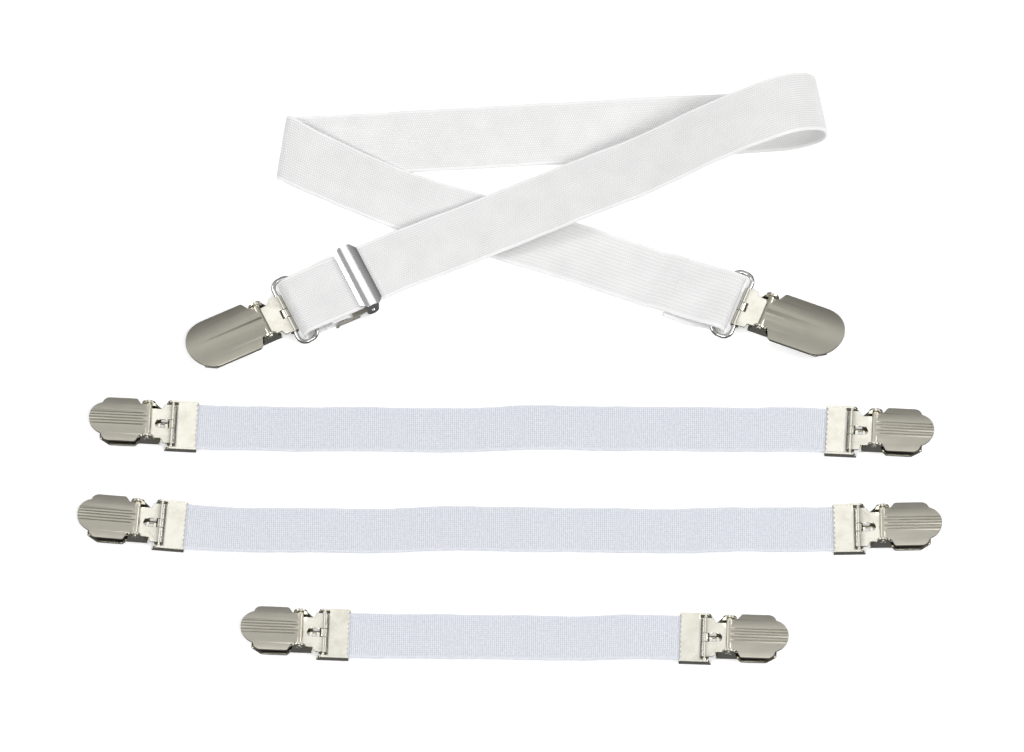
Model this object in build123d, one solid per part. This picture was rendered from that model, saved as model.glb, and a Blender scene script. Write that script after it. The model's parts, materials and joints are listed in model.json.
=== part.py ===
from build123d import *
import math
import os

# A set of four elastic suspender straps with nickel-plated clips, laid out flat.
# Millimetres, +Z up, the set lies on z = 0. Every strap is built of its own pieces:
# bands, rings or end frames, clips (two jaws, a cover lever, a pivot pin, a jaw pad)
# and the adjuster of the long strap.

# ---------------------------------------------------------------- driving sizes

# sheet metal and hinges, common to all clips
sheet = 0.8
bar_r = 0.9
hinge_gap = 0.05
pin_r = 0.8
cam_gap = 0.1
side_gap = 0.15
pin_head = 0.35

# the clips' common heights
jaw_top_z = 3.4
pivot_z = 5.8
barrel_wall = 0.5
cover_z = 7.2
dome_r = 30.0
pad_height = 0.7
tooth_pitch = 2.2
tooth_depth = 0.9
lip_z = 2.7
lip_drop = 2.05

# the clips of the long strap: oval cover
oval = dict(pivot_x=10.4, cover_length=33.0, cover_half=10.5, hinge_half=6.85, nose_r=10.5,
            corner_r=0.0, jaw_inset=1.6, tongue_half=8.4, slot_length=2.2, windows=0, grooves=0)
# the clips of the short straps: scalloped cover with engraved lines
scallop = dict(pivot_x=9.6, cover_length=23.6, cover_half=9.35, hinge_half=6.85, nose_r=7.0,
               corner_r=3.0, jaw_inset=0.2, tongue_half=8.4, slot_length=6.8, windows=2, grooves=5)
knuckle_half = 1.7
ear_width = 8.6
ear_top_r = 2.7
flare_run = 1.7
neck_run = 0.4
groove_pitch = 1.25
groove_depth = 0.22

# end frames of the short straps
frame_back = 10.2
frame_front = 2.6
frame_room = 0.1
wall_over_bar = 1.25
crimp_length = 7.4
crimp_teeth = 9

# long strap
band_width = 25.6
band_t = 1.3
heading_out = 18.5
heading_back = 183.6
heading_end = 339.3
clip_swing = 7.0
loop_height = 30.0
loop_reach = 17.0
slide_z = 6.6
fold_height = 4.6
slide_travel = 16.0
hem_length = 24.0
ring_slack = 0.05
ring_length = 8.2
ring_room = 1.8
ring_corner = 3.4

# adjuster
plate_room = 0.6
plate_width = 9.6
plate_t = 0.9
plate_bow_r = 8.5
plate_gap = 0.15
corner_cut = 2.3
slide_pin_z = 3.6
lever_reach = 14.2
slot_x = (-12.4, -8.2)
tail_z = 2.0
fold_r = 1.7
fold_x = -11.3
return_x = -21.0

# short straps: name, x of the middle, y of the lane, free band length, turn of the left and right end
short_width = 19.4
short_t = 1.2
short_lift = 0.15
end_turn_length = 30.0
short_straps = [
    ("upper", -0.2, -24.0, 250.8, -3.0, -3.0),
    ("middle", -1.0, -68.4, 258.0, -5.0, 1.0),
    ("lower", 1.0, -115.2, 131.2, -2.5, -2.0),
]
adjuster_place = (-61.6, 40.0)

# the long strap's course: distances along the band, and along each bend's own direction
turned_s = 105.0
loop_q = 126.0
out_start = -120.0
fold_s = 398.0
fold_q = 31.0
end_s = 593.2
bar_to_slide = 31.9
loop_centre_x = 3.0
end_loop_room = 0.45
bar_short_of_loop = 2.9
end_ring_turn = -0.5

# sizes that follow from those above
knuckle_r = bar_r + hinge_gap + sheet
bar_z = knuckle_r
barrel_r = pin_r + hinge_gap + barrel_wall
ear_in = oval["hinge_half"] + side_gap
ear_out = ear_in + sheet
ring_wire_r = bar_r - ring_slack
ring_half = band_width / 2 + ring_room
plate_half = band_width / 2 + plate_room + plate_t
frame_half = short_width / 2 + frame_room + sheet
wall_z = bar_z + wall_over_bar
short_z = sheet + short_lift + short_t / 2
rest_z = band_t / 2
end_loop_r = ring_wire_r + band_t / 2 + end_loop_room
straight_s = slide_travel + 10


# ---------------------------------------------------------------- small helpers

def box(x0, x1, y0, y1, z0, z1):
    return Pos((x0 + x1) / 2, (y0 + y1) / 2, (z0 + z1) / 2) * Box(x1 - x0, y1 - y0, z1 - z0)


def rod_y(x, z, r, y0, y1):
    return Pos(x, (y0 + y1) / 2, z) * Rot(90, 0, 0) * Cylinder(r, y1 - y0)


def tube_y(x, z, r, y0, y1, bore):
    return rod_y(x, z, r, y0, y1) - rod_y(x, z, bore, y0 - 1, y1 + 1)


def side_plate(points, y0, y1):
    """A plate standing in the XZ plane, from y0 to y1."""
    outline = Face(Polyline(*[(x, y1, z) for x, z in points], close=True))
    return extrude(outline, amount=y1 - y0, dir=(0, -1, 0))


def flat_plate(points, z0, z1):
    outline = Face(Polyline(*[(x, y, z0) for x, y in points], close=True))
    return extrude(outline, amount=z1 - z0, dir=(0, 0, 1))


def mirrored(points):
    """An outline given for y > 0, closed with its mirror image."""
    return points + [(x, -y) for x, y in reversed(points)]


def teeth(x0, x1, half, z_tip, up):
    """V notches across a lip, as one cutter."""
    count = int(2 * half / tooth_pitch)
    cutters = []
    for i in range(count):
        y = (i - (count - 1) / 2) * tooth_pitch
        tip = z_tip - tooth_depth * up
        edge = z_tip + 0.3 * up
        wide = tooth_pitch * 0.45 * (tooth_depth + 0.3) / tooth_depth
        notch = Face(Polyline((x0, y - wide, edge), (x0, y + wide, edge), (x0, y, tip), close=True))
        cutters.append(extrude(notch, amount=x1 - x0, dir=(1, 0, 0)))
    return cutters


# ---------------------------------------------------------------- clip

def jaw_lengths(c):
    tip = c["pivot_x"] + c["cover_length"]
    lower = tip - 4.6
    upper = lower - sheet - 0.35
    return lower, upper


def lower_jaw(c):
    """Base plate with upright ears, the middle knuckle and a toothed lip turned up at the front."""
    length, _ = jaw_lengths(c)
    ear_x0 = c["pivot_x"] - ear_width * 0.6
    ear_x1 = ear_x0 + ear_width
    wide = c["cover_half"] - c["jaw_inset"]
    nose = wide * 0.72
    base = flat_plate(mirrored([(ear_x0, ear_out), (ear_x1, ear_out), (ear_x1 + 1.4, wide),
                                (length - 4.0, wide), (length, nose)]), 0, sheet)
    strip = box(0, ear_x0 + 0.5, -knuckle_half, knuckle_half, 0, sheet)
    knuckle = rod_y(0, bar_z, knuckle_r, -knuckle_half, knuckle_half)
    lip = box(length - sheet, length, -nose, nose, 0, lip_z)
    ears = []
    for side in (-1, 1):
        y0, y1 = sorted((side * ear_in, side * ear_out))
        mound = side_plate([(ear_x0, 0), (ear_x1, 0), (c["pivot_x"] + ear_top_r - 0.15, pivot_z),
                            (c["pivot_x"] - ear_top_r + 0.15, pivot_z)], y0, y1)
        ears.append(mound + rod_y(c["pivot_x"], pivot_z, ear_top_r, y0, y1))
    jaw = base + strip + knuckle + lip + ears[0] + ears[1]
    cuts = [rod_y(0, bar_z, bar_r + hinge_gap, -knuckle_half - 1, knuckle_half + 1),
            rod_y(c["pivot_x"], pivot_z, pin_r, -ear_out - 1, ear_out + 1)]
    for i in range(c["windows"]):
        x = knuckle_r + 1.1 + 3.0 * i
        cuts.append(box(x, x + 1.9, -0.9, 0.9, -1, sheet + 1))
    return jaw - cuts - teeth(length - sheet - 1, length + 1, nose, lip_z, 1)


def upper_jaw(c):
    """Tongue between the ears, hinged on the bar by two knuckles, with a toothed lip turned down."""
    _, length = jaw_lengths(c)
    waist = c["hinge_half"] - 0.45
    front = c["cover_half"] - 1.4
    ear_x0 = c["pivot_x"] - ear_width * 0.6
    ear_x1 = ear_x0 + ear_width
    z0 = jaw_top_z - sheet
    outline = mirrored([(0, c["tongue_half"]), (ear_x0 - 1.2, c["tongue_half"]), (ear_x0 - 0.4, waist),
                        (ear_x1 + 0.5, waist), (ear_x1 + 1.5, front), (length - 3.2, front),
                        (length, front * 0.72)])
    plate = flat_plate(outline, z0, jaw_top_z)
    roll = rod_y(0, bar_z, knuckle_r, -c["tongue_half"], c["tongue_half"])
    lip = box(length - sheet, length, -front * 0.72, front * 0.72, jaw_top_z - lip_drop, jaw_top_z)
    slot_half = knuckle_half + 0.2
    # a short slot is cut square, a long one ends in a half circle
    square_end = c["slot_length"] - (slot_half if c["windows"] else 0)
    slot = box(-knuckle_r - 1, square_end, -slot_half, slot_half, -1, jaw_top_z + 1)
    jaw = plate + roll + lip
    cuts = [rod_y(0, bar_z, bar_r + hinge_gap, -20, 20), slot]
    if c["windows"]:
        cuts.append(Pos(square_end, 0, jaw_top_z / 2) * Cylinder(slot_half, jaw_top_z + 2))
    return jaw - cuts - teeth(length - sheet - 1, length + 1, front * 0.72, jaw_top_z - lip_drop, -1)


def cover_outline(c):
    """Seen from above: narrow between the ears, then full width, then the nose."""
    px, half = c["pivot_x"], c["cover_half"]
    tip = px + c["cover_length"]
    neck_x = px + ear_top_r + neck_run
    shoulder_x = tip - c["nose_r"] + (0 if c["corner_r"] == 0 else 1.9)
    body = Polyline((px, c["hinge_half"]), (neck_x, c["hinge_half"]), (neck_x + flare_run, half),
                    (shoulder_x, half), (shoulder_x, -half), (neck_x + flare_run, -half),
                    (neck_x, -c["hinge_half"]), (px, -c["hinge_half"]), close=True)
    face = Sketch() + make_face(body)
    if c["corner_r"]:
        corners = [v for v in face.vertices() if abs(v.X - shoulder_x) < 0.01]
        face = fillet(corners, c["corner_r"])
    flares = [v for v in face.vertices() if abs(v.X - neck_x - flare_run) < 0.01]
    face = fillet(flares, 1.0)
    return face + Pos(tip - c["nose_r"], 0) * Circle(c["nose_r"])


def cover(c):
    """Domed lever with a barrel on the pin and a cam flange that presses the upper jaw."""
    px = c["pivot_x"]
    tip = px + c["cover_length"]
    axis_z = cover_z - dome_r
    along = Pos((px + tip) / 2, 0, axis_z) * Rot(0, 90, 0)
    dome = along * Cylinder(dome_r, c["cover_length"] + 4)
    dome -= along * Cylinder(dome_r - sheet, c["cover_length"] + 8)
    plate = extrude(cover_outline(c), amount=cover_z + 2, dir=(0, 0, 1)) & dome
    for i in range(c["grooves"]):
        y = (i - (c["grooves"] - 1) / 2) * groove_pitch
        top = axis_z + math.sqrt(dome_r ** 2 - y ** 2)
        plate -= Pos((px + tip) / 2 + 2.0, y, top + 0.25 - groove_depth) * Rot(0, 90, 0) * Cylinder(
            0.25, c["cover_length"] + 3)
    barrel = rod_y(px, pivot_z, barrel_r, -c["hinge_half"], c["hinge_half"])
    cam_half = c["hinge_half"] - 1.2
    cam_end = jaw_top_z + cam_gap + sheet / 2
    flange = box(px - sheet / 2, px + sheet / 2, -cam_half, cam_half, cam_end, pivot_z)
    cam = rod_y(px, cam_end, sheet / 2, -cam_half, cam_half)
    web = box(px, px + barrel_r + 0.5, -c["hinge_half"], c["hinge_half"], pivot_z - 0.3,
              cover_z - sheet * 0.6)
    web = web & (along * Cylinder(dome_r - 0.1, c["cover_length"] + 8))
    return plate + barrel + flange + cam + web - rod_y(px, pivot_z, pin_r + hinge_gap, -20, 20)


def pivot_pin(c):
    """Pin through both ears, its ends staked with a cross."""
    half = ear_out
    pin = rod_y(c["pivot_x"], pivot_z, pin_r, -half, half)
    for side in (-1, 1):
        y0, y1 = sorted((side * half, side * (half + pin_head)))
        head = rod_y(c["pivot_x"], pivot_z, pin_r + 0.45, y0, y1)
        cut = side * (half + pin_head)
        y0, y1 = sorted((cut - side * 0.2, cut + side * 0.2))
        across = box(c["pivot_x"] - 2, c["pivot_x"] + 2, y0, y1, pivot_z - 0.17, pivot_z + 0.17)
        down = box(c["pivot_x"] - 0.17, c["pivot_x"] + 0.17, y0, y1, pivot_z - 2, pivot_z + 2)
        pin = pin + (head - across - down)
    return pin


def jaw_pad(c):
    """Grip pad that lies on the lower jaw's plate."""
    _, length = jaw_lengths(c)
    ear_x1 = c["pivot_x"] + ear_width * 0.4
    half = c["cover_half"] - 2.0
    return box(ear_x1 + 1.4, length - 2.6, -half, half, sheet, sheet + pad_height)


def clip(c):
    return {"lower_jaw": lower_jaw(c), "upper_jaw": upper_jaw(c), "cover": cover(c),
            "pivot_pin": pivot_pin(c), "jaw_pad": jaw_pad(c)}


# ---------------------------------------------------------------- ring and end frame

def ring(tilt):
    """Wire ring, a rounded rectangle: bar 1 at the origin's axis, bar 2 behind it, raised by tilt."""
    path = (Pos(-ring_length / 2, 0) * RectangleRounded(ring_length, 2 * ring_half, ring_corner)).wires()[0]
    wire = sweep(Plane(origin=path @ 0, z_dir=path % 0) * Circle(ring_wire_r), path=path)
    return Pos(0, 0, bar_z) * Rot(0, tilt, 0) * wire


def end_frame():
    """Stamped frame at the end of a short strap: base, folded walls, bar and a crimped band clamp."""
    half = frame_half
    crimp_z = short_z + short_t / 2
    crimp_x = -frame_back + 0.35
    frame = box(-frame_back, -knuckle_r - 0.35, -half, half, 0, sheet)
    for side in (-1, 1):
        y0, y1 = sorted((side * half, side * (half - sheet)))
        frame += box(-frame_back, 0.6, y0, y1, 0, wall_z)
        frame += rod_y(0.6, wall_z / 2, wall_z / 2, y0, y1)
        frame += box(0.6, frame_front, y0, y1, 0, wall_z / 2)
    frame += rod_y(0, bar_z, bar_r, -half + sheet / 2, half - sheet / 2)
    inner = half - sheet / 2
    plate = box(crimp_x, crimp_x + crimp_length, -inner, inner, crimp_z, crimp_z + sheet)
    for i in range(crimp_teeth):
        y = (i - (crimp_teeth - 1) / 2) * (2 * (half - sheet) / crimp_teeth)
        plate -= Pos(crimp_x, y, crimp_z + sheet / 2) * Cylinder(0.45, sheet * 2)
    return frame + plate


# ---------------------------------------------------------------- bands

def strip_solid(stations, t):
    """Closed band through stations, each (left point, right point, unit normal)."""
    rims = []
    for left, right, n in stations:
        off = n * (t / 2)
        rims.append([left + off, right + off, right - off, left - off])
    faces = [Face(Polyline(*rims[0], close=True)), Face(Polyline(*rims[-1], close=True))]
    for a, b in zip(rims[:-1], rims[1:]):
        for k in range(4):
            m = (k + 1) % 4
            faces.append(Face(Polyline(a[k], a[m], b[m], close=True)))
            faces.append(Face(Polyline(a[k], b[m], b[k], close=True)))
    solid = Solid(Shell(faces))
    return solid if solid.volume > 0 else Solid(Shell([-f for f in faces]))


def unit(angle):
    return Vector(math.cos(math.radians(angle)), math.sin(math.radians(angle)), 0)


def smooth(x):
    x = min(max(x, 0.0), 1.0)
    return x * x * (3 - 2 * x)


def curve_of(knots, steps=24):
    """A smooth curve in a standing plane, through (run, height, tangent angle), with its lengths."""
    points = []
    for (q0, z0, a0), (q1, z1, a1) in zip(knots[:-1], knots[1:]):
        turn = abs((a1 - a0 + 180) % 360 - 180)
        pull = math.hypot(q1 - q0, z1 - z0) / math.cos(math.radians(turn / 4)) ** 2
        d0, d1 = unit(a0) * pull, unit(a1) * pull
        for i in range(steps):
            t = i / steps
            h0, h1 = 2 * t ** 3 - 3 * t ** 2 + 1, t ** 3 - 2 * t ** 2 + t
            h2, h3 = 3 * t ** 2 - 2 * t ** 3, t ** 3 - t ** 2
            points.append((h0 * q0 + h1 * d0.X + h2 * q1 + h3 * d1.X,
                           h0 * z0 + h1 * d0.Y + h2 * z1 + h3 * d1.Y))
    points.append(knots[-1][:2])
    lengths = [0.0]
    for p, q in zip(points[:-1], points[1:]):
        lengths.append(lengths[-1] + math.hypot(q[0] - p[0], q[1] - p[1]))
    return points, lengths


def along_curve(curve, d):
    points, lengths = curve
    if d <= 0:
        return points[0][0] + d, points[0][1]
    for i in range(len(points) - 1):
        if d <= lengths[i + 1]:
            f = (d - lengths[i]) / (lengths[i + 1] - lengths[i])
            return tuple(a + (b - a) * f for a, b in zip(points[i], points[i + 1]))
    return points[-1]


skew_out = (heading_out - heading_back + 180) / 2
bend_out = heading_out - skew_out
skew_back = (heading_back - heading_end + 180) / 2
bend_back = heading_back - skew_back
out_curve = curve_of([
    (out_start, slide_z, 0), (-36, slide_z, 0), (-8, 4.6, -3), (55, 11.5, 9), (loop_q, loop_height, 0),
    (loop_q + loop_reach, loop_height / 2, -90), (loop_q - 7, rest_z, 180), (-200, rest_z, 180)])
back_curve = curve_of([
    (0, rest_z, 0), (fold_q, rest_z, 0), (fold_q + 3.4, rest_z + fold_height / 2, 90),
    (fold_q, rest_z + fold_height, 180), (-30, rest_z, 180), (-250, rest_z, 180)])

# the fixed end: over its own hem, round the ring's bar and back under itself
end_bar_q = hem_length + 10 - bar_short_of_loop
end_curve = curve_of([
    (0, rest_z, 0), (9, rest_z + band_t + 0.1, 4), (hem_length - 2, rest_z + band_t + 0.8, 6),
    (hem_length + 10, rest_z + 2 * end_loop_r, 0),
    (hem_length + 10 + end_loop_r, rest_z + end_loop_r, -90), (hem_length + 10, rest_z, 180),
    (10, rest_z, 180)])


def sway(s):
    """Sideways drift of the first run: it leaves the adjuster a little steeper than it reaches the loop."""
    slope = math.tan(math.radians(clip_swing))
    run = turned_s - straight_s
    if s < straight_s:
        return -slope * run / 2 - (straight_s - s) * slope
    return -slope / (2 * run) * max(turned_s - s, 0) ** 2


def sway_slope(s):
    run = turned_s - straight_s
    return math.tan(math.radians(clip_swing)) * min(max(turned_s - s, 0) / run, 1)


def lean(s):
    """Height that the far edge gains per millimetre of width on the rear run."""
    return 0.15 * smooth((s - 215) / 60) * (1 - smooth((s - 425) / 70))


def sag(s):
    """Sideways sag of the last run towards the front, deepest soon after the fold."""
    t = min(max((s - fold_s - fold_q) / 165, 0.0), 1.0)
    return -3.4 * math.sin(math.pi * (1 - (1 - t) ** 2)) * smooth(12 * t)


def first_run(s, v):
    """A point of the runs before and after the high loop, in the loop's own frame."""
    c, n = math.cos(math.radians(skew_out)), math.sin(math.radians(skew_out))
    reach = run_to_slide - out_start + sway(0) * n
    q, z = along_curve(out_curve, s * c - v * n + reach)
    place = unit(bend_out) * (q - run_to_slide) - unit(bend_out - 90) * (s * n + (v - sway(0)) * c)
    return place + Vector(adjuster_place[0], adjuster_place[1], z)


def last_run(s, w):
    """A point after the flat fold, up to the fixed end."""
    c, n = math.cos(math.radians(skew_back)), math.sin(math.radians(skew_back))
    run = s - fold_s
    q, z = along_curve(back_curve, run * c + w * n)
    start = first_run(fold_s, 0)
    place = unit(bend_back) * q + unit(bend_back - 90) * (w * c - run * n) + unit(heading_end + 90) * sag(s)
    return Vector(start.X + place.X, start.Y + place.Y, z)


def strap_point(s, w):
    """The middle of the long band's thickness, s along it and w across it."""
    if s <= fold_s:
        point = first_run(s, w + sway(s))
    elif s <= end_s:
        point = last_run(s, w)
    else:
        start = last_run(end_s, w)
        q, z = along_curve(end_curve, s - end_s)
        point = Vector(start.X, start.Y, z) + unit(heading_end) * q
    return point + Vector(0, 0, lean(s) * (w + band_width / 2))


def slant(s):
    """Slope of the straight lines that cross the band at s: square to it, or along a bend's axis."""
    drift = sway_slope(s) / (1 + sway_slope(s) ** 2)
    out = math.tan(math.radians(skew_out)) * smooth((s - straight_s) / 40) * (1 - smooth((s - 300) / 80))
    back = math.tan(math.radians(skew_back)) * smooth((s - 300) / 80) * (1 - smooth((s - 470) / 60))
    return out - back - drift


def strap_station(s):
    k, half, e = slant(s), band_width / 2, 0.02
    left, right = strap_point(s + k * half, half), strap_point(s - k * half, -half)
    forward = strap_point(s + e, 0) - strap_point(s - e, 0)
    return left, right, forward.cross(left - right).normalized()


def spread(a, b, step):
    count = max(1, round((b - a) / step))
    return [a + (b - a) * i / count for i in range(count)]


run_to_slide = Vector(*adjuster_place, 0).dot(unit(bend_out))
adjuster_heading = heading_out + clip_swing
adjuster = Location((adjuster_place[0], adjuster_place[1], 0), (0, 0, adjuster_heading))


def long_band():
    """The one long elastic, from the adjuster to its hem."""
    last = end_s + end_curve[1][-1] - 0.5
    # close together where the band bends, and wide apart where it lies straight
    stretches = [(-8, straight_s, 17), (straight_s, 165, 12), (165, 275, 5), (275, 420, 14), (420, 446, 0.9),
                 (446, 590, 9), (590, end_s + 24, 4), (end_s + 24, end_s + 44, 1), (end_s + 44, last, 6)]
    stops = [s for stretch in stretches for s in spread(*stretch)] + [last]
    return strip_solid([strap_station(s) for s in stops], band_t)


def flat_strip(knots, width, t, steps=8):
    """A band that bends only up and down, across the local X axis, through (x, z, tangent angle)."""
    points, _ = curve_of(knots, steps)
    stations = []
    for i, (x, z) in enumerate(points):
        x0, z0 = points[max(i - 1, 0)]
        x1, z1 = points[min(i + 1, len(points) - 1)]
        n = Vector(z0 - z1, 0, x1 - x0).normalized()
        stations.append((Vector(x, width / 2, z), Vector(x, -width / 2, z), n))
    return strip_solid(stations, t)


def ring_loop_band():
    """From the adjuster round the ring's bar and back under, in the adjuster's frame."""
    turn_x = loop_centre_x - bar_to_slide + 2.65
    r = (slide_z - rest_z) / 2
    return flat_strip([(-8.3, slide_z, 180), (turn_x, slide_z, 180), (turn_x - r, rest_z + r, -90),
                       (turn_x, rest_z, 0), (return_x - 0.2, rest_z, 0)], band_width, band_t)


def folded_end():
    """The band's end, folded through the lever's slot."""
    return flat_strip([(return_x, rest_z, 0), (fold_x, rest_z, 0), (fold_x + fold_r, rest_z + fold_r, 90),
                       (fold_x, rest_z + 2 * fold_r, 180), (fold_x - 6, rest_z + 2 * fold_r, 180)],
                      band_width, band_t)


# ---------------------------------------------------------------- adjuster

def slide_frame():
    """Bowed front plate with cut corners and two ears that hold the pin."""
    low = slide_z + band_t / 2 + plate_gap
    half = plate_width / 2
    bow_z = low - math.sqrt(plate_bow_r ** 2 - half ** 2)
    cut, across = corner_cut, plate_half
    outline = mirrored([(-half, across - cut), (-half + cut, across), (half - cut, across),
                        (half, across - cut)])
    bow = tube_y(0, bow_z, plate_bow_r + plate_t, -across, across, plate_bow_r)
    frame = flat_plate(outline, low - 0.6, low + 6) & bow
    ear_half = half - cut
    for side in (-1, 1):
        y0, y1 = sorted((side * across, side * (across - plate_t)))
        top_z = bow_z + math.sqrt((plate_bow_r + plate_t / 2) ** 2 - ear_half ** 2)
        frame += box(-ear_half, ear_half, y0, y1, slide_pin_z, top_z)
        frame += rod_y(0, slide_pin_z, ear_half, y0, y1)
    return frame - rod_y(0, slide_pin_z, pin_r, -across - 1, across + 1)


def slide_lever():
    """Locking plate under the band: barrel, toothed cam, slotted tail and two edge hooks."""
    inner = plate_half - plate_t - side_gap
    wide = plate_half - 0.3
    ear_half = plate_width / 2 - corner_cut
    neck = -ear_half - 0.4
    tip = -lever_reach
    barrel = rod_y(0, slide_pin_z, pin_r + hinge_gap + sheet, -inner, inner)
    arm = side_plate([(0, slide_pin_z), (0, slide_pin_z - sheet), (neck, slide_pin_z - sheet), (-6, tail_z),
                      (-6, tail_z + sheet), (neck, slide_pin_z)], -inner, inner)
    tail = box(tip, -5.6, -wide, wide, tail_z, tail_z + sheet)
    lever = barrel + arm + tail
    lever -= box(slot_x[0], slot_x[1], -band_width / 2 - 0.25, band_width / 2 + 0.25, tail_z - 1, tail_z + 2)
    cam_z = slide_z - band_t / 2 - 0.12
    ridge = side_plate([(-0.9, slide_pin_z + 0.9), (0.9, slide_pin_z + 0.9), (0.5, cam_z), (-0.5, cam_z)],
                       -inner + 1, inner - 1)
    lever += ridge
    for side in (-1, 1):
        y0, y1 = sorted((side * wide, side * (wide - 0.9)))
        hook = [(tip + 0.6, tail_z), (tip + 0.6, tail_z + sheet), (tip - 0.8, tail_z + sheet),
                (tip - 2.0, tail_z - 0.9), (tip - 1.2, tail_z - 1.2), (tip - 0.5, tail_z)]
        lever += side_plate(hook, y0, y1)
    return lever - rod_y(0, slide_pin_z, pin_r + hinge_gap, -inner - 1, inner + 1)


def slide_pin():
    half = plate_half
    pin = rod_y(0, slide_pin_z, pin_r, -half, half)
    for side in (-1, 1):
        y0, y1 = sorted((side * half, side * (half + pin_head)))
        pin += rod_y(0, slide_pin_z, pin_r + 0.45, y0, y1)
    return pin


# ---------------------------------------------------------------- short straps

def short_band(length, turn_left, turn_right):
    """Elastic between two end frames, its last stretches turned in line with them."""
    insert = frame_back - knuckle_r - 1.2
    run = end_turn_length

    def place(x):
        if x < -length / 2 + run:
            k, over = math.tan(math.radians(turn_left)), -length / 2 + run - x
        elif x > length / 2 - run:
            k, over = math.tan(math.radians(turn_right)), x - length / 2 + run
        else:
            return 0.0, 0.0
        bent = min(over, run)
        side = 1 if x > 0 else -1
        return side * k * (bent * bent / (2 * run) + max(over - run, 0)), k * bent / run

    stops = spread(-length / 2 - insert, -length / 2, 4) + spread(-length / 2, -length / 2 + run, 3)
    stops += spread(-length / 2 + run, length / 2 - run, 16)
    stops += [-x for x in reversed(spread(-length / 2 - insert, -length / 2 + run, 3))]
    stations = []
    for x in stops:
        y, k = place(x)
        across = Vector(-k, 1, 0).normalized() * (short_width / 2)
        middle = Vector(x, y, short_z)
        stations.append((middle + across, middle - across, Vector(0, 0, 1)))
    return strip_solid(stations, short_t), place(-length / 2)[0], place(length / 2)[0]


# ---------------------------------------------------------------- assembly

def clip_place(bar_point, heading):
    return Location((bar_point.X, bar_point.Y, 0), (0, 0, heading))


nodes = {}
places = {}
oval_clip, scallop_clip = clip(oval), clip(scallop)

nodes["long_band"] = long_band()
for make in (ring_loop_band, folded_end, slide_frame, slide_lever, slide_pin):
    nodes[make.__name__] = adjuster * make()

left_bar = (adjuster * Pos(-bar_to_slide, 0, 0)).position
places["long_left"] = clip_place(left_bar, adjuster_heading + 180)
end_point = last_run(end_s, 0)
right_bar_2 = Vector(end_point.X, end_point.Y, 0) + unit(heading_end) * end_bar_q
right_bar_1 = right_bar_2 + unit(heading_end + end_ring_turn) * ring_length
places["long_right"] = clip_place(right_bar_1, heading_end + end_ring_turn)
ring_tilts = {"long_left": math.degrees(math.asin(((rest_z + slide_z) / 2 - bar_z) / ring_length)),
              "long_right": math.degrees(math.asin((rest_z + end_loop_r - bar_z) / ring_length))}
for name, tilt in ring_tilts.items():
    nodes[f"{name}_ring"] = places[name] * ring(tilt)

short_frame = end_frame()
for name, x, y, length, turn_left, turn_right in short_straps:
    band, y_left, y_right = short_band(length, turn_left, turn_right)
    nodes[f"{name}_band"] = Pos(x, y, 0) * band
    for side, turn, drift, heading in (("left", turn_left, y_left, 180), ("right", turn_right, y_right, 0)):
        sign = 1 if side == "right" else -1
        start = Vector(x + sign * length / 2, y + drift, 0)
        places[f"{name}_{side}"] = clip_place(start + unit(heading + turn) * frame_back, heading + turn)
        nodes[f"{name}_{side}_end_frame"] = places[f"{name}_{side}"] * short_frame

for name, place in places.items():
    pieces = oval_clip if name.startswith("long") else scallop_clip
    for part, solid in pieces.items():
        nodes[f"{name}_{part}"] = place * solid

# the set is centred on its own outline
boxes = [solid.bounding_box() for solid in nodes.values()]
centre = Pos(-(min(b.min.X for b in boxes) + max(b.max.X for b in boxes)) / 2,
             -(min(b.min.Y for b in boxes) + max(b.max.Y for b in boxes)) / 2, -min(b.min.Z for b in boxes))

os.makedirs("parts", exist_ok=True)
for name, solid in nodes.items():
    export_step(centre * solid, f"parts/{name}.step")
print(len(nodes), "nodes", "centre", centre.position)
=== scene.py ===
import json
import math

import bmesh
import bpy
import numpy as np
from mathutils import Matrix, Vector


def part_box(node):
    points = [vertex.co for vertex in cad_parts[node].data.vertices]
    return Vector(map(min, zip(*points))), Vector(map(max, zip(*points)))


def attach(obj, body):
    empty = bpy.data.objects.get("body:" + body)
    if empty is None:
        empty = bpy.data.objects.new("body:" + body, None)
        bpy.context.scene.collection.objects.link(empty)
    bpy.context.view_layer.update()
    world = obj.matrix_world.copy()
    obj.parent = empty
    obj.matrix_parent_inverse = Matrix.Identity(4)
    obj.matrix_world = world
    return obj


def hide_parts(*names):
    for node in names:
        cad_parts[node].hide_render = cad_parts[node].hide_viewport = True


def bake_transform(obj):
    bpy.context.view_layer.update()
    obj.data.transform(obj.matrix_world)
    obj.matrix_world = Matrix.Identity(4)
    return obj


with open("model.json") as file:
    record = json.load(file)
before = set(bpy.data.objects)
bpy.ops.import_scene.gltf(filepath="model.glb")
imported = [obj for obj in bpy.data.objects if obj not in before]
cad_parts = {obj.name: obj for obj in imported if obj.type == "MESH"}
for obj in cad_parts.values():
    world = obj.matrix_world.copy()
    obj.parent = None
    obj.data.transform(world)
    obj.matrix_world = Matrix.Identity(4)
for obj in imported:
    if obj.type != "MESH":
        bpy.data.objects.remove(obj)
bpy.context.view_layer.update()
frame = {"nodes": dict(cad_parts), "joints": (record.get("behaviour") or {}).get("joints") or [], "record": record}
joints = {joint["name"]: joint for joint in frame["joints"]}
bodyOf = {node: body for body, nodes in frame["record"]["behaviour"]["bodies"].items() for node in nodes}
mm = 0.001
print("frame loaded,", len(frame["nodes"]), "nodes")


# small maths helpers, all on whole arrays

def unit(angle):
    # direction at an angle in degrees, in the plane of the table
    return np.array([math.cos(math.radians(angle)), math.sin(math.radians(angle))])


def smooth(x):
    # 0 below 0, 1 above 1, and the cubic 3x^2 - 2x^3 between
    x = np.clip(x, 0.0, 1.0)
    return x * x * (3 - 2 * x)


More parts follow.
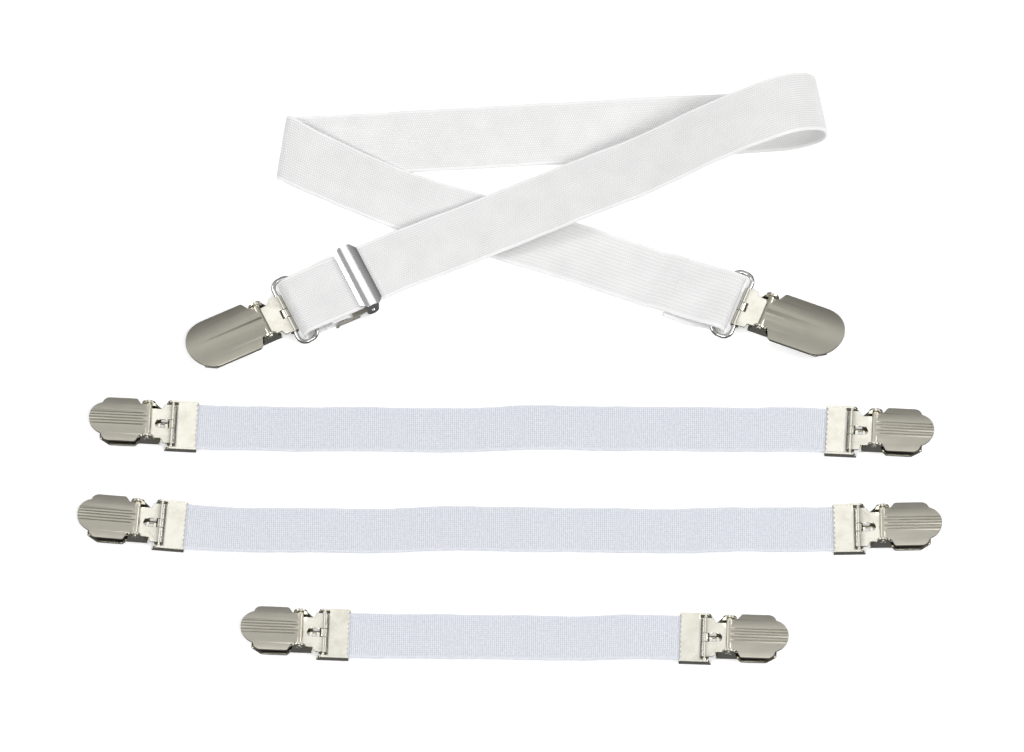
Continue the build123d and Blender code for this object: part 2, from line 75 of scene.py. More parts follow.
def curveOf(knots, steps=24):
    # a cubic Hermite curve through (run, height, tangent angle), as its points and their distances along it
    points = []
    t = (np.arange(steps) / steps)[:, None]
    for (q0, z0, a0), (q1, z1, a1) in zip(knots[:-1], knots[1:]):
        turn = abs((a1 - a0 + 180) % 360 - 180)
        pull = math.hypot(q1 - q0, z1 - z0) / math.cos(math.radians(turn / 4)) ** 2
        h0, h1 = 2 * t ** 3 - 3 * t ** 2 + 1, t ** 3 - 2 * t ** 2 + t
        h2, h3 = 3 * t ** 2 - 2 * t ** 3, t ** 3 - t ** 2
        points.append(h0 * np.array([q0, z0]) + h1 * unit(a0) * pull
                      + h2 * np.array([q1, z1]) + h3 * unit(a1) * pull)
    points = np.vstack(points + [np.array([knots[-1][:2]])])
    gaps = np.hypot(*np.diff(points, axis=0).T)
    return points, np.append(0, np.cumsum(gaps))


def alongCurve(curve, d):
    # the point at a distance along the curve, which goes straight on before its start
    points, lengths = curve
    return np.interp(d, lengths, points[:, 0]) + np.minimum(d, 0), np.interp(d, lengths, points[:, 1])


def spread(*stretches):
    # distances along a band from (start, end, step) stretches, the last end included
    stops = [np.linspace(a, b, max(1, round((b - a) / step)), endpoint=False) for a, b, step in stretches]
    return np.append(np.concatenate(stops), stretches[-1][1])


# shader building

class Wire:
    # one output socket, and arithmetic on it adds Math nodes
    def __init__(self, finish, socket):
        self.finish = finish
        self.socket = socket

    def math(self, operation, *values):
        return self.finish.node("ShaderNodeMath", {"operation": operation}, dict(enumerate(values)))

    def __add__(self, other):
        return self.math("ADD", self, other)

    def __radd__(self, other):
        return self.math("ADD", other, self)

    def __sub__(self, other):
        return self.math("SUBTRACT", self, other)

    def __rsub__(self, other):
        return self.math("SUBTRACT", other, self)

    def __mul__(self, other):
        return self.math("MULTIPLY", self, other)

    def __rmul__(self, other):
        return self.math("MULTIPLY", other, self)

    def wave(self, pitch):
        # 0 to 1 and back once every pitch
        return self.math("COSINE", self * (2 * math.pi / pitch)) * 0.5 + 0.5

    def above(self, edge, soft):
        # 0 below edge - soft, 1 above edge + soft
        return self.finish.node("ShaderNodeMapRange", {"interpolation_type": "SMOOTHSTEP"},
                                {"Value": self, "From Min": edge - soft, "From Max": edge + soft})


class Finish:
    # a material with one Principled shader
    def __init__(self, name, **constants):
        self.material = bpy.data.materials.new(name)
        self.material.use_nodes = True
        self.tree = self.material.node_tree
        self.shader = self.tree.nodes["Principled BSDF"]
        for socket, value in constants.items():
            self.shader.inputs[socket.replace("_", " ")].default_value = value

    def node(self, kind, settings, sockets, output=0):
        node = self.tree.nodes.new(kind)
        for name, value in settings.items():
            setattr(node, name, value)
        for name, value in sockets.items():
            if isinstance(value, Wire):
                self.tree.links.new(value.socket, node.inputs[name])
            else:
                node.inputs[name].default_value = value
        return Wire(self, node.outputs[output])

    def feed(self, socket, wire):
        self.tree.links.new(wire.socket, self.shader.inputs[socket])

    def mix(self, factor, a, b):
        return self.node("ShaderNodeMix", {"data_type": "RGBA"}, {0: factor, 6: a, 7: b}, 2)

    def bump(self, height, distance, strength=1.0):
        self.feed("Normal", self.node("ShaderNodeBump", {}, {"Height": height, "Distance": distance,
                                                           "Strength": strength}))

    def noise(self, vector, scale, detail=3.0):
        return self.node("ShaderNodeTexNoise", {}, {"Vector": vector, "Scale": scale, "Detail": detail})

    def map(self, name):
        # the two coordinates of a UV map, in millimetres
        uv = self.node("ShaderNodeUVMap", {"uv_map": name}, {})
        return (self.node("ShaderNodeSeparateXYZ", {}, {0: uv}, 0),
                self.node("ShaderNodeSeparateXYZ", {}, {0: uv}, 1), uv)

    def attribute(self, name):
        return self.node("ShaderNodeAttribute", {"attribute_name": name}, {}, "Fac")

    def place(self):
        return self.node("ShaderNodeTexCoord", {}, {}, "Object")


# fabric finishes: U runs along the band and V across it, in millimetres

# the darker of the two colours is painted shade for the weave's hollows; the lighter is the yarn's own colour
broadWeave = {
    "paintedShade": (0.60, 0.60, 0.60, 1), "light": (0.92, 0.92, 0.915, 1),
    "wale": 0.98, "pick": 0.92, "selvedge": 11.7, "depth": 0.00016,
}


def broadElastic():
    w = broadWeave
    f = Finish("broadElastic", Roughness=0.85, Sheen_Weight=0.25, Sheen_Roughness=0.5, Specular_IOR_Level=0.3)
    u, v, uv = f.map("weave")
    face = f.attribute("face")
    inner = 1 - v.math("ABSOLUTE", v).above(w["selvedge"], 0.25)
    uneven = f.noise(uv, 0.09, 4.0)
    # the face side: short diagonal floats on every wale, which wander a little
    lean = u + v * 0.62 + uneven * 1.4
    twill = lean.wave(w["pick"]) * v.wave(w["wale"])
    # the back side: floats that lean the other way on every second wale
    side = v.math("PINGPONG", v, w["wale"])
    chevron = (u + side * 0.85).wave(w["pick"]) * (v.wave(w["wale"]) * 0.6 + 0.4)
    rows = v.wave(1.62) * u.above(505, 45) * 0.22
    pattern = (twill * face + chevron * (1 - face)) * (1 - u.above(505, 45) * 0.5 * face) + rows
    pattern = pattern * inner + 0.55 * (1 - inner)
    # the colour follows the same pattern as the bump, so the weave's hollows get painted shade and its raised
    # floats the yarn's own colour; the noise adds uneven tone
    f.feed("Base Color", f.mix(pattern * 0.8 + uneven * 0.4, w["paintedShade"], w["light"]))
    f.bump(pattern, w["depth"], 0.7)
    return f.material


# the darker of the two colours is painted shade for the hollows between ribs; the lighter is the yarn's own colour
narrowWeave = {
    "paintedShade": (0.42, 0.44, 0.49, 1), "light": (0.83, 0.85, 0.90, 1),
    "rib": 0.82, "wale": 0.86, "selvedge": 9.0, "depth": 0.00014,
}


def narrowElastic():
    w = narrowWeave
    f = Finish("narrowElastic", Roughness=0.85, Sheen_Weight=0.25, Sheen_Roughness=0.5, Specular_IOR_Level=0.3)
    u, v, uv = f.map("weave")
    inner = 1 - v.math("ABSOLUTE", v).above(w["selvedge"], 0.2)
    uneven = f.noise(uv, 0.11, 4.0)
    ribs = (u + uneven * 0.5).wave(w["rib"])
    grid = ribs * (v.wave(w["wale"]) * 0.55 + 0.45)
    pattern = grid * inner + 0.6 * (1 - inner)
    broken = f.noise(uv, 0.9, 2.0)
    # the colour follows the rib grid that also drives the bump, so the hollows get painted shade; the broken noise
    # adds uneven tone
    f.feed("Base Color", f.mix(pattern * 0.6 + broken * 0.55, w["paintedShade"], w["light"]))
    f.bump(pattern, w["depth"], 0.7)
    return f.material


def thread():
    f = Finish("sewingThread", Roughness=0.7, Sheen_Weight=0.3)
    twist = f.noise(f.place(), 2200.0)
    f.feed("Base Color", f.mix(twist, (0.62, 0.62, 0.61, 1), (0.86, 0.86, 0.85, 1)))
    f.bump(twist, 0.00005)
    return f.material


# metal finishes: the "stamped" map is along and across a clip, in millimetres

def nickelPlate(name, colour, tarnish, roughness, clouding=0.06):
    f = Finish(name, Metallic=1.0)
    place = f.place()
    cloud = f.noise(place, 160.0, 4.0)
    grain = f.noise(place, 2600.0, 2.0)
    f.feed("Base Color", f.mix(cloud.above(0.55, 0.2) * 0.5, colour, tarnish))
    f.feed("Roughness", roughness + clouding * cloud + 0.04 * grain)
    f.bump(cloud * 0.7 + grain * 0.12, 0.00006, 0.6)
    return f.material


def satinNickel(name, colour, lines):
    # brushed along the clip, with engraved lines where there are any, their grooves painted dark as painted shade
    f = Finish(name, Metallic=1.0)
    u, v, uv = f.map("stamped")
    stretched = f.node("ShaderNodeMapping", {}, {"Vector": uv, "Scale": (0.012, 2.4, 1)})
    brushed = f.noise(stretched, 2.2, 3.0)
    cloud = f.noise(uv, 0.16, 3.0)
    base = f.mix(brushed * 0.3 + cloud * 0.6, tuple(0.80 * c for c in colour[:3]) + (1,), colour)
    roughness = 0.36 + 0.06 * brushed
    if lines:
        across = v.math("ABSOLUTE", v)
        comb = v.wave(lines["pitch"]).above(0.76, 0.12) * (1 - across.above(lines["half"], 0.05))
        start = v.wave(2.5) * 1.6 + lines["start"]
        comb = comb * (u - start).above(0, 0.6)
        # the grooves are given a dark colour as painted shade; the lower roughness and the bump there are the
        # engraving itself
        base = f.mix(comb, base, (0.30, 0.285, 0.24, 1))
        roughness = roughness - comb * 0.10
    f.feed("Base Color", base)
    f.feed("Roughness", roughness)
    f.bump(brushed * 0.1 - comb if lines else brushed * 0.1, 0.00008, 0.5)
    return f.material


def gripPad():
    f = Finish("gripPad", Roughness=0.8)
    grain = f.noise(f.place(), 900.0, 3.0)
    f.feed("Base Color", f.mix(grain, (0.02, 0.019, 0.017, 1), (0.06, 0.055, 0.05, 1)))
    f.bump(grain, 0.00008)
    return f.material


finishes = {
    "broad": broadElastic(),
    "narrow": narrowElastic(),
    "thread": thread(),
    "nickel": nickelPlate("nickelPlate", (0.77, 0.75, 0.67, 1), (0.62, 0.59, 0.50, 1), 0.15),
    "dull": nickelPlate("dullPlate", (0.58, 0.56, 0.51, 1), (0.46, 0.44, 0.39, 1), 0.30),
    "wire": nickelPlate("drawnWire", (0.66, 0.66, 0.64, 1), (0.52, 0.52, 0.50, 1), 0.16, 0.04),
    "bright": nickelPlate("brightPlate", (0.84, 0.84, 0.84, 1), (0.76, 0.76, 0.76, 1), 0.10, 0.04),
    "ovalCover": satinNickel("ovalCover", (0.55, 0.53, 0.45, 1), None),
    "scallopCover": satinNickel("scallopCover", (0.68, 0.65, 0.56, 1),
                                {"pitch": 1.25, "half": 3.0, "start": 10.0}),
    "pad": gripPad(),
}
print("materials made,", len(finishes))


# bands

def bandMesh(name, middle, u, v, thickness, finish):
    # a closed band about a grid of middle points (along, across): each side is offset along the surface's
    # normal by half the thickness, which falls to nothing in a quarter circle at the two edges
    along, across = middle.shape[:2]
    normal = np.cross(np.gradient(middle, axis=0), np.gradient(middle, axis=1))
    normal /= np.linalg.norm(normal, axis=2, keepdims=True)
    half = thickness / 2
    inside = np.clip((np.abs(v) - (np.abs(v).max() - half)) / half, 0, 1)
    rise = (half * np.sqrt(np.clip(1 - inside ** 2, 0, 1)))[..., None]
    rim = np.concatenate([middle + normal * rise, (middle - normal * rise)[:, -2:0:-1]], axis=1)
    rimU = np.concatenate([u, u[:, -2:0:-1]], axis=1)
    rimV = np.concatenate([v, v[:, -2:0:-1]], axis=1)
    side = np.concatenate([np.ones(across), np.zeros(across - 2)])
    side[[0, across - 1]] = 0.5
    count = rim.shape[1]
    i, j = np.meshgrid(np.arange(along - 1), np.arange(count), indexing="ij")
    k = (j + 1) % count
    walls = np.stack([i * count + j, (i + 1) * count + j, (i + 1) * count + k, i * count + k], -1)
    # end caps join each top point to the bottom point under it
    top = np.arange(across)
    under = np.concatenate([[0], np.arange(count - 1, across - 1, -1), [across - 1]])[:across]
    caps = []
    for start, turned in ((0, False), ((along - 1) * count, True)):
        quads = np.stack([top[:-1], top[1:], under[1:], under[:-1]], -1)[:, ::-1 if turned else 1] + start
        caps += [[int(x) for x in dict.fromkeys(quad)] for quad in quads.tolist()]
    mesh = bpy.data.meshes.new(name)
    faces = walls.reshape(-1, 4).tolist() + caps
    mesh.from_pydata((rim.reshape(-1, 3) * mm).tolist(), [], faces)
    mesh.polygons.foreach_set("use_smooth", np.ones(len(mesh.polygons), bool))
    corners = np.zeros(len(mesh.loops), np.int32)
    mesh.loops.foreach_get("vertex_index", corners)
    weave = mesh.uv_layers.new(name="weave")
    flatUv = np.stack([rimU.ravel(), rimV.ravel()], -1)[corners]
    weave.data.foreach_set("uv", flatUv.ravel().astype(np.float32))
    face = mesh.attributes.new("face", "FLOAT", "POINT")
    face.data.foreach_set("value", np.tile(side, along).astype(np.float32))
    mesh.update()
    piece = bpy.data.objects.new(name, mesh)
    bpy.context.scene.collection.objects.link(piece)
    mesh.materials.append(finishes[finish])
    return piece


def acrossStops(half, thickness, count):
    # places across a band, closer together at its two rounded edges
    r = thickness / 2
    turn = half - r + r * np.sin(np.linspace(0, math.pi / 2, 5))
    return np.concatenate([-turn[::-1], np.linspace(-half + r, half - r, count)[1:-1], turn])


# the long band's course, as its own lengths, heights and turns in millimetres and degrees
course = {
    "width": 25.6, "thickness": 1.3, "slideHeight": 6.6, "rest": 0.65, "adjuster": (-61.6, 40.0),
    "headingOut": 18.5, "headingBack": 183.6, "headingEnd": 339.3, "clipSwing": 7.0,
    "loopHeight": 30.0, "loopReach": 17.0, "foldHeight": 4.6, "straight": 26.0, "turned": 105.0,
    "loopRun": 126.0, "outStart": -120.0, "foldAt": 398.0, "foldRun": 31.0, "endAt": 593.2,
    "hem": 24.0, "endLoop": 1.95, "start": -1.0, "hemDrift": 1.7, "sag": 3.4, "sagRun": 165.0,
}
c = course
rest, lift = c["rest"], c["slideHeight"]
skewOut = (c["headingOut"] - c["headingBack"] + 180) / 2
skewBack = (c["headingBack"] - c["headingEnd"] + 180) / 2
bendOut = c["headingOut"] - skewOut
bendBack = c["headingBack"] - skewBack
runToSlide = float(np.dot(c["adjuster"], unit(bendOut)))
adjusterHeading = c["headingOut"] + c["clipSwing"]
low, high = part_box("slide_pin")
adjusterCentre = np.array([(low.x + high.x) / 2, (low.y + high.y) / 2]) / mm
outCurve = curveOf([
    (c["outStart"], lift, 0), (-36, lift, 0), (-8, 4.6, -3), (55, 11.5, 9), (c["loopRun"], c["loopHeight"], 0),
    (c["loopRun"] + c["loopReach"], c["loopHeight"] / 2, -90), (c["loopRun"] - 7, rest, 180),
    (-200, rest, 180)])
backCurve = curveOf([
    (0, rest, 0), (c["foldRun"], rest, 0), (c["foldRun"] + 3.4, rest + c["foldHeight"] / 2, 90),
    (c["foldRun"], rest + c["foldHeight"], 180), (-30, rest, 180), (-250, rest, 180)])
endCurve = curveOf([
    (0, rest, 0), (9, rest + c["thickness"] + 0.1, 4), (c["hem"] - 2, rest + c["thickness"] + 0.8, 6),
    (c["hem"] + 10, rest + 2 * c["endLoop"], 0),
    (c["hem"] + 10 + c["endLoop"], rest + c["endLoop"], -90), (c["hem"] + 10, rest, 180), (10, rest, 180)])


def swaySlope(s):
    # the drift's slope, full beside the adjuster and none where the band has turned
    run = c["turned"] - c["straight"]
    return math.tan(math.radians(c["clipSwing"])) * np.clip((c["turned"] - s) / run, 0, 1)


def sway(s):
    # sideways drift, the integral of its slope: straight, then a parabola
    run = c["turned"] - c["straight"]
    slope = math.tan(math.radians(c["clipSwing"]))
    bent = -slope / (2 * run) * np.maximum(c["turned"] - s, 0) ** 2
    return np.where(s < c["straight"], -slope * run / 2 - (c["straight"] - s) * slope, bent)


def firstRun(s, v):
    # from the adjuster up over the high loop and back along the table: a generalised cylinder whose
    # straight lines stand askew to the band
    cosine, sine = math.cos(math.radians(skewOut)), math.sin(math.radians(skewOut))
    start = float(sway(np.array(0.0)))
    q, z = alongCurve(outCurve, s * cosine - v * sine + runToSlide - c["outStart"] + start * sine)
    side = s * sine + (v - start) * cosine
    flat = unit(bendOut) * (q - runToSlide)[..., None] - unit(bendOut - 90) * side[..., None] + adjusterCentre
    return np.concatenate([flat, z[..., None]], -1)


def lastRun(s, w):
    # from the flat fold to the fixed end, with a slight sag towards the front, deepest soon after the fold
    cosine, sine = math.cos(math.radians(skewBack)), math.sin(math.radians(skewBack))
    run = s - c["foldAt"]
    q, z = alongCurve(backCurve, run * cosine + w * sine)
    start = firstRun(np.array(c["foldAt"]), np.array(0.0))[:2]
    t = np.clip((run - c["foldRun"]) / c["sagRun"], 0, 1)
    sag = -c["sag"] * np.sin(math.pi * (1 - (1 - t) ** 2)) * smooth(12 * t)
    side = w * cosine - run * sine
    flat = (start + unit(bendBack) * q[..., None] + unit(bendBack - 90) * side[..., None]
            + unit(c["headingEnd"] + 90) * sag[..., None])
    return np.concatenate([flat, z[..., None]], -1)


def strapPoint(s, w):
    # the middle of the long band's thickness, s along it and w across it
    back = lastRun(np.clip(s, c["foldAt"], c["endAt"]), w)
    point = np.where((s <= c["foldAt"])[..., None], firstRun(s, w + sway(s)), back)
    q, z = alongCurve(endCurve, np.maximum(s - c["endAt"], 0))
    after = s > c["endAt"]
    drift = c["hemDrift"] * smooth((s - c["endAt"] - 40) / 16)
    move = unit(c["headingEnd"]) * q[..., None] + unit(c["headingEnd"] - 90) * drift[..., None]
    point[..., :2] += move * after[..., None]
    point[..., 2] = np.where(after, z, point[..., 2])
    lean = 0.15 * smooth((s - 215) / 60) * (1 - smooth((s - 425) / 70))
    point[..., 2] += lean * (w + c["width"] / 2)
    return point


def slant(s):
    # slope of the straight lines across the band: square to it, or along a bend's own axis
    out = math.tan(math.radians(skewOut)) * smooth((s - c["straight"]) / 40) * (1 - smooth((s - 300) / 80))
    back = math.tan(math.radians(skewBack)) * smooth((s - 300) / 80) * (1 - smooth((s - 470) / 60))
    return out - back - swaySlope(s) / (1 + swaySlope(s) ** 2)


def longBand():
    last = c["endAt"] + endCurve[1][-1] - 0.5
    stops = spread((c["start"], 165, 1.8), (165, 275, 0.9), (275, 420, 1.6), (420, 446, 0.35),
                   (446, c["endAt"] + 24, 1.6), (c["endAt"] + 24, c["endAt"] + 44, 0.4),
                   (c["endAt"] + 44, last, 1.2))
    s, w = np.meshgrid(stops, acrossStops(c["width"] / 2, c["thickness"], 23), indexing="ij")
    s = s + slant(s) * w
    # a woven edge is never dead straight
    edge = 0.10 * np.sin(s / 7.3) + 0.07 * np.sin(s / 2.9 + 1)
    middle = strapPoint(s, w + edge * np.abs(w) / (c["width"] / 2))
    piece = bandMesh("long_band_elastic", middle, s, w, c["thickness"], "broad")
    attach(piece, "long_strap")
    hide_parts("long_band")
    return piece, last - c["start"]


hem = {"stitches": 17, "stitchHalf": 0.62, "threadRadius": 0.17, "fromEdge": 1.4, "fromEnd": 11.6}


def hemStitches():
    # a row of short stitches across the band where its folded end is sewn down: each a small ellipsoid
    count, reach, r = hem["stitches"], hem["stitchHalf"], hem["threadRadius"]
    places = np.linspace(-c["width"] / 2 + hem["fromEdge"], c["width"] / 2 - hem["fromEdge"], count)
    s = np.full(count, c["endAt"] + hem["fromEnd"])
    centre = strapPoint(s, places)
    across = strapPoint(s, places + 0.1) - centre
    across /= np.linalg.norm(across, axis=1, keepdims=True)
    forward = strapPoint(s + 0.1, places) - centre
    forward /= np.linalg.norm(forward, axis=1, keepdims=True)
    up = np.cross(forward, across)
    turn, tilt = np.meshgrid(np.linspace(0, 2 * math.pi, 10, endpoint=False), np.linspace(0, math.pi, 9)[1:-1],
                             indexing="ij")
    ball = np.stack([np.cos(tilt), np.sin(tilt) * np.cos(turn), np.sin(tilt) * np.sin(turn)], -1).reshape(-1, 3)
    ball = np.vstack([ball, [[1, 0, 0], [-1, 0, 0]]]) * [reach, r, r]
    points = (centre + up * c["thickness"] / 2)[:, None] + ball @ np.stack([across, forward, up], 1)
    rows = 7
    faces = []
    for i in range(10):
        n = (i + 1) % 10
        faces += [[i * rows + j, i * rows + j + 1, n * rows + j + 1, n * rows + j] for j in range(rows - 1)]
        faces += [[i * rows, n * rows, 70], [n * rows + rows - 1, i * rows + rows - 1, 71]]
    shells = [[corner + 72 * k for corner in face] for k in range(count) for face in faces]
    mesh = bpy.data.meshes.new("hem_stitches")
    mesh.from_pydata((points.reshape(-1, 3) * mm).tolist(), [], shells)
    mesh.polygons.foreach_set("use_smooth", np.ones(len(mesh.polygons), bool))
    fixNormals(mesh)
    piece = bpy.data.objects.new("hem_stitches", mesh)
    bpy.context.scene.collection.objects.link(piece)
    mesh.materials.append(finishes["thread"])
    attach(piece, "long_strap")
    return piece


def fixNormals(mesh):
    bm = bmesh.new()
    bm.from_mesh(mesh)
    bmesh.ops.recalc_face_normals(bm, faces=bm.faces)
    bm.to_mesh(mesh)
    bm.free()


def fromAdjuster(x, y, z):
    # adjuster's own axes to the table's
    ahead, left = unit(adjusterHeading), unit(adjusterHeading + 90)
    flat = adjusterCentre + x[..., None] * ahead + y[..., None] * left
    return np.concatenate([flat, z[..., None]], -1)


def adjusterStrip(name, knots, startU):
    # a strip that bends only up and down through (run, height, angle) in the adjuster's own frame
    curve = curveOf(knots, 16)
    total = curve[1][-1]
    stops = spread((0, total, 0.5))
    d, w = np.meshgrid(stops, acrossStops(c["width"] / 2, c["thickness"], 23), indexing="ij")
    x, z = alongCurve(curve, d)
    middle = fromAdjuster(x, -w, z)
    return bandMesh(name, middle, startU - d, -w, c["thickness"], "broad"), total


loop = {"barRun": 31.9, "centreRun": 3.0, "turnRun": 2.65, "returnRun": -20.4, "foldRun": -11.3, "foldRadius": 1.7}


def ringLoop():
    turnX = loop["centreRun"] - loop["barRun"] + loop["turnRun"]
    r = (lift - rest) / 2
    face, faceLength = adjusterStrip("loop_face_elastic", [
        (c["start"], lift, 180), (turnX, lift, 180), (turnX - r, rest + r, -90)], c["start"])
    back, backLength = adjusterStrip("loop_back_elastic", [
        (turnX - r, rest + r, -90), (turnX, rest, 0), (loop["returnRun"], rest, 0)], c["start"] - faceLength)
    fold, foldLength = adjusterStrip("folded_end_elastic", [
        (loop["returnRun"], rest, 0), (loop["foldRun"], rest, 0),
        (loop["foldRun"] + loop["foldRadius"], rest + loop["foldRadius"], 90),
        (loop["foldRun"], rest + 2 * loop["foldRadius"], 180),
        (loop["foldRun"] - 6, rest + 2 * loop["foldRadius"], 180)], c["start"] - faceLength - backLength)

    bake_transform(face)
    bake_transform(back)
    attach(fold, "adjuster_lever")
    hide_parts("ring_loop_band")
    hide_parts("folded_end")
    for piece, length, held in ((face, faceLength, "stretched"), (back, backLength, "stretched"),
                                (fold, foldLength, "folded")):
        round(length * mm, 4)


# short bands: free length between end frames, and how far each end turns, in degrees
shortBands = {
    "upper": {"length": 250.8, "left": -3.0, "right": -3.0, "phase": 0.4},
    "middle": {"length": 258.0, "left": -5.0, "right": 1.0, "phase": 2.1},
    "lower": {"length": 131.2, "left": -2.5, "right": -2.0, "phase": 4.0},
}
shortSize = {"width": 19.4, "thickness": 1.2, "turnRun": 30.0, "insert": 7.25, "clampedRun": 8.0, "freeRun": 30.0}


def shortBand(name, band):
    size = shortSize
    low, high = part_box(name + "_band")
    length, run = band["length"], size["turnRun"]
    middleX = (low.x + high.x) / 2 / mm
    reach = length / 2 + size["insert"]
    x, v = np.meshgrid(spread((-reach, reach, 1.2)), acrossStops(size["width"] / 2, size["thickness"], 19),
                       indexing="ij")

    def bend(angle, over):
        # a parabola, then the straight line that goes on from it
        slope = math.tan(math.radians(angle))
        bent = np.clip(over, 0, run)
        return slope * (bent ** 2 / (2 * run) + np.maximum(over - run, 0)), slope * bent / run

    yLeft, slopeLeft = bend(band["left"], -length / 2 + run - x)
    yRight, slopeRight = bend(band["right"], x - length / 2 + run)
    drift, slope = yRight - yLeft, slopeRight + slopeLeft
    # the strap lies loose, so it wanders a little sideways and up between its ends
    free = smooth((length / 2 - size["clampedRun"] - np.abs(x)) / size["freeRun"])
    wander = 0.42 * np.sin(x / 23 + band["phase"]) + 0.22 * np.sin(x / 9.5 + 2 * band["phase"])
    rise = 0.34 * np.sin(x / 13 + band["phase"]) + 0.16 * np.sin(x / 6.1 + v / 14) - 0.15
    edge = 0.07 * np.sin(x / 5.3) + 0.05 * np.sin(x / 2.3 + 1)
    wide = v * (1 + edge / (size["width"] / 2))
    middleZ = (low.z + high.z) / 2 / mm
    points = np.stack([x - wide * slope, drift + wander * free + wide, middleZ + rise * free], -1)
    # the bend is worked out about the strap's own line, and its box says where that line is
    seen = points[..., 1] - (wander * free)
    shiftY = (low.y + high.y) / 2 / mm - (seen.max() + seen.min()) / 2
    points[..., 0] += middleX - (points[..., 0].max() + points[..., 0].min()) / 2
    points[..., 1] += shiftY
    piece = bandMesh(name + "_band_elastic", points, x, v, size["thickness"], "narrow")
    ends = [tuple(float(a) * mm for a in (middleX + side * (length / 2 - 3), points[0, 0, 1], middleZ))
            for side in (-1, 1)]
    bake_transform(piece)
    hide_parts(name + "_band")
    round(2 * reach * mm, 4)


band, bandLength = longBand()
stitches = hemStitches()
round(bandLength * mm, 4)
ringLoop()
for name, values in shortBands.items():
    shortBand(name, values)
print("bands made, the long one", round(bandLength), "mm")


# stamped and plated pieces

def clipAxes(clip):
    # a clip's own origin on its hinge bar, and the direction from there to its tip
    joint = joints[clip + "_clip_swivel"]
    x, y, _ = joint["axis"]
    return np.array(joint["pos_m"][:2]), np.array([-y, x])


def platedCopy(node, finish, bevel=0.12):
    # a copy of a stamped piece with its edges broken, as tumbling and plating leave them
    source = frame["nodes"][node]
    mesh = source.data.copy()
    mesh.name = node + "_plated"
    bm = bmesh.new()
    bm.from_mesh(mesh)
    bmesh.ops.remove_doubles(bm, verts=bm.verts, dist=0.000002)
    bmesh.ops.dissolve_limit(bm, angle_limit=math.radians(0.15), verts=bm.verts, edges=bm.edges)
    bm.to_mesh(mesh)
    bm.free()
    piece = bpy.data.objects.new(node + "_plated", mesh)
    bpy.context.scene.collection.objects.link(piece)
    mesh.polygons.foreach_set("use_smooth", np.ones(len(mesh.polygons), bool))
    mesh.set_sharp_from_angle(angle=math.radians(32))
    mesh.materials.clear()
    mesh.materials.append(finishes[finish])
    clip = next((name for name in clips if node.startswith(name)), None)
    if clip:
        origin, ahead = clipAxes(clip)
        corners = np.zeros(len(mesh.loops), np.int32)
        mesh.loops.foreach_get("vertex_index", corners)
        points = np.zeros(len(mesh.vertices) * 3, np.float32)
        mesh.vertices.foreach_get("co", points)
        flat = (points.reshape(-1, 3)[:, :2] - origin) / mm
        own = np.stack([flat @ ahead, flat @ np.array([-ahead[1], ahead[0]])], -1)
        stamped = mesh.uv_layers.new(name="stamped")
        stamped.data.foreach_set("uv", own[corners].ravel().astype(np.float32))
    edge = piece.modifiers.new("brokenEdge", "BEVEL")
    edge.width = bevel * mm
    edge.segments = 2
    edge.limit_method = "ANGLE"
    edge.angle_limit = math.radians(32)
    edge.harden_normals = True
    edge.use_clamp_overlap = True
    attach(piece, bodyOf[node])
    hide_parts(node)
    return piece


clips = ["long_left", "long_right"] + [f"{name}_{side}" for name in shortBands for side in ("left", "right")]
for clip in clips:
    long = clip.startswith("long")
    platedCopy(clip + "_cover", "ovalCover" if long else "scallopCover", 0.26)
    platedCopy(clip + "_lower_jaw", "nickel", 0.2)
    platedCopy(clip + "_upper_jaw", "nickel", 0.2)
    platedCopy(clip + "_pivot_pin", "nickel", 0.05)
    platedCopy(clip + "_jaw_pad", "pad", 0.15)
    if not long:
        platedCopy(clip + "_end_frame", "nickel", 0.24)
platedCopy("slide_frame", "bright", 0.2)
platedCopy("slide_lever", "dull", 0.12)
for node in ("slide_pin", "long_left_ring", "long_right_ring"):
    platedCopy(node, "wire", 0.05)
print("metal pieces made")


# table, light and camera

studio = {
    "viewWidth": 0.4096, "lens": 800.0, "elevation": 65.0,
    "ceiling": 0.40, "horizon": 0.12, "floorGlow": 0.30,
    "lights": [
        ("skyPanel", (0.0, 0.80, 1.62), (1.1, 0.5), 1.7),
        ("leftBox", (-1.5, 0.25, 1.15), (0.9, 0.9), 14.0),
        ("rightBox", (1.45, 0.1, 1.25), (0.9, 0.9), 18.0),
        ("frontBox", (0.1, -1.2, 1.6), (1.2, 0.7), 15.0),
    ],
}


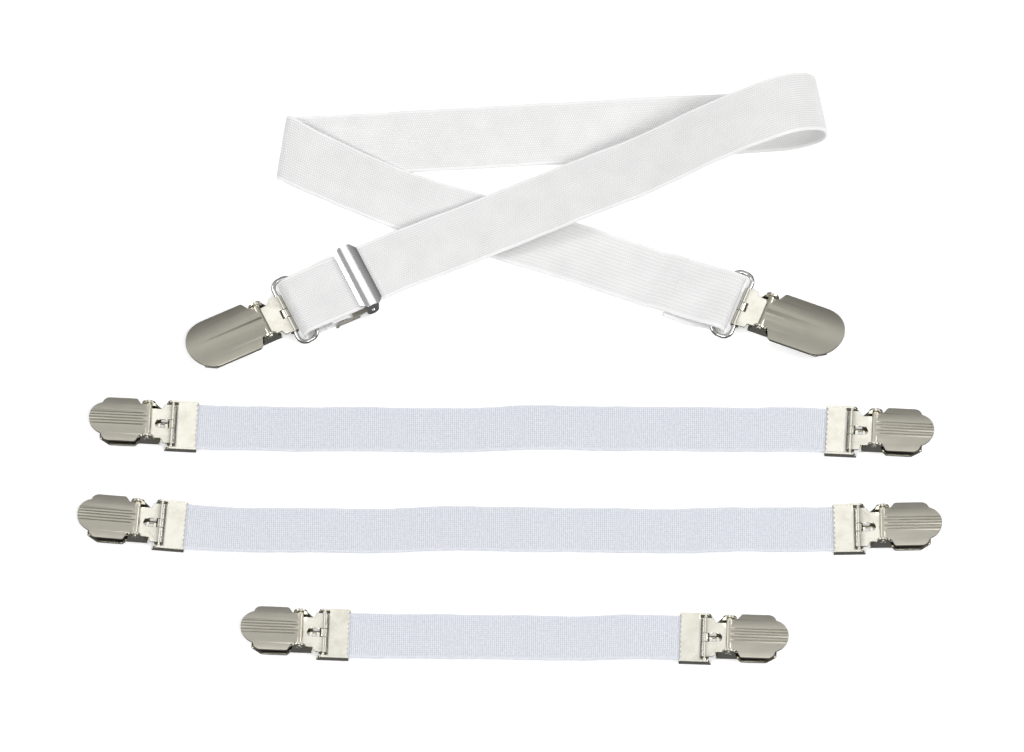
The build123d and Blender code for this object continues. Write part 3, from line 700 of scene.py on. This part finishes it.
def setUpStudio():
    floor = Finish("paleTable", Base_Color=(0.93, 0.93, 0.93, 1), Roughness=0.9, Specular_IOR_Level=0.1,
                   Emission_Color=(1, 1, 1, 1), Emission_Strength=studio["floorGlow"])
    haze = floor.noise(floor.place(), 3.0)
    floor.feed("Base Color", floor.mix(haze, (0.92, 0.92, 0.92, 1), (0.94, 0.94, 0.94, 1)))
    bpy.ops.mesh.primitive_circle_add(vertices=96, radius=2.4, fill_type="NGON", location=(0, 0, -0.0002))
    table = bpy.context.object
    table.name = "table_top"
    table.visible_glossy = False  # the metal mirrors a dark room below the horizon, as over a raised sheet
    table.data.materials.append(floor.material)

    world = bpy.data.worlds.new("studio")
    bpy.context.scene.world = world
    world.use_nodes = True
    tree = world.node_tree
    background = tree.nodes["Background"]
    seen = tree.nodes.new("ShaderNodeTexCoord")
    height = tree.nodes.new("ShaderNodeSeparateXYZ")
    ramp = tree.nodes.new("ShaderNodeMapRange")
    ramp.interpolation_type = "SMOOTHSTEP"
    ramp.inputs["From Min"].default_value = 0.15
    ramp.inputs["From Max"].default_value = 0.85
    ramp.inputs["To Min"].default_value = studio["horizon"]
    ramp.inputs["To Max"].default_value = studio["ceiling"]
    tree.links.new(seen.outputs["Generated"], height.inputs[0])
    tree.links.new(height.outputs["Z"], ramp.inputs["Value"])
    tree.links.new(ramp.outputs[0], background.inputs["Strength"])
    background.inputs["Color"].default_value = (1, 1, 1, 1)

    for name, place, (wide, deep), power in studio["lights"]:
        data = bpy.data.lights.new(name, "AREA")
        data.shape = "RECTANGLE"
        data.size, data.size_y, data.energy = wide, deep, power
        lamp = bpy.data.objects.new(name, data)
        lamp.location = place
        lamp.rotation_euler = (-lamp.location).to_track_quat("-Z", "Y").to_euler()
        bpy.context.scene.collection.objects.link(lamp)

    data = bpy.data.cameras.new("camera")
    data.lens = studio["lens"]
    data.sensor_width = 36.0
    away = studio["viewWidth"] * data.lens / data.sensor_width
    camera = bpy.data.objects.new("camera", data)
    tilt = math.radians(studio["elevation"])
    centre = adjusterCentre * mm - np.array(c["adjuster"]) * mm
    camera.location = (centre[0], centre[1] - away * math.cos(tilt), away * math.sin(tilt))
    camera.rotation_euler = (math.pi / 2 - tilt, 0, 0)
    data.clip_end = 100
    bpy.context.scene.collection.objects.link(camera)
    bpy.context.scene.camera = camera
    bpy.context.scene.view_settings.view_transform = "Standard"


setUpStudio()
print("studio ready")
